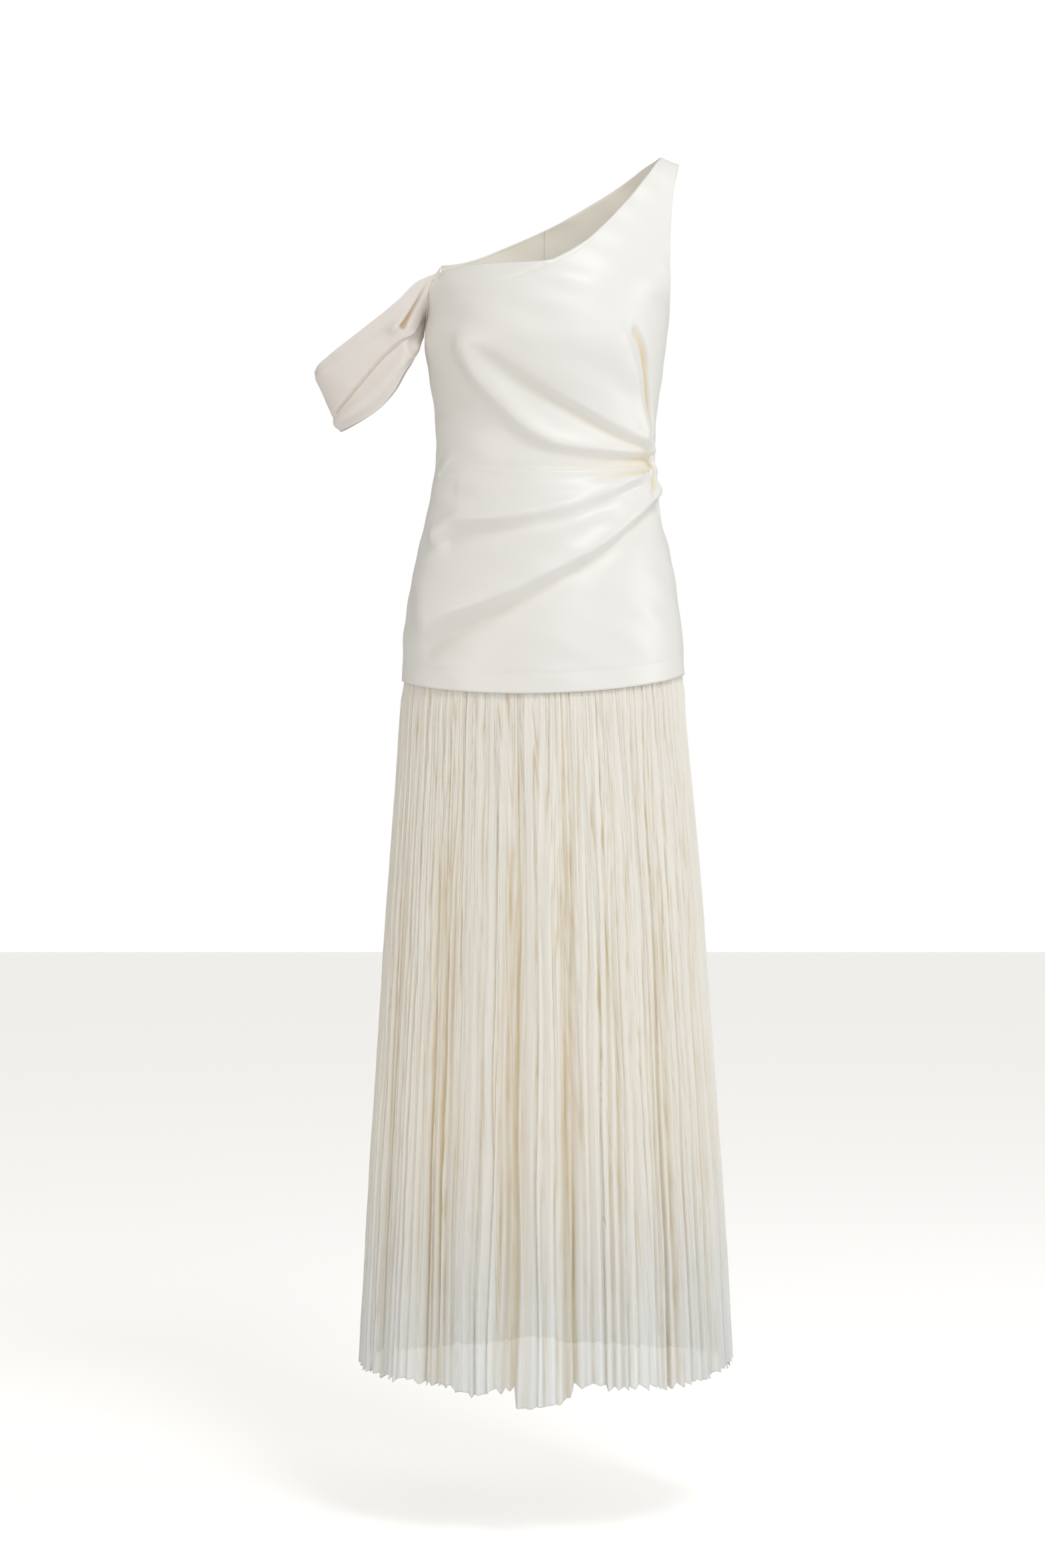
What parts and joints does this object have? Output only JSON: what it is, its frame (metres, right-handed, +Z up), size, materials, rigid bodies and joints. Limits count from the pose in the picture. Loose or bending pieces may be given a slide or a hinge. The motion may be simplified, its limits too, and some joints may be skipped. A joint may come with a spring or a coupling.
{
  "type": "one-shoulder dress",
  "caption": "Long one-shoulder dress with a draped bodice, a dropped waist, one off-shoulder sleeve and a gathered sheer skirt over a lining, hollow and open as when worn.",
  "frame": {"origin": "underside of the shoulder strap, at the middle of its shoulder seam", "axes": "+Z up, -Y the dress's front, +X the wearer's left"},
  "size_m": [0.5002, 0.3338, 1.4672],
  "materials": {
    "satin": "soft ivory satin",
    "sleeve_cloth": "dull blush-ivory crepe-back satin",
    "chiffon": "crinkled sheer cream chiffon",
    "lining": "smooth matt lining"
  },
  "bodies": {
    "root": {"bodice_front": "satin", "bodice_back_left": "satin", "bodice_back_right": "satin", "sleeve": "sleeve_cloth", "skirt_front_left": "chiffon", "skirt_front_right": "chiffon", "skirt_back_left": "chiffon", "skirt_back_right": "chiffon", "lining_front": "lining", "lining_back": "lining"}
  },
  "joints": []
}
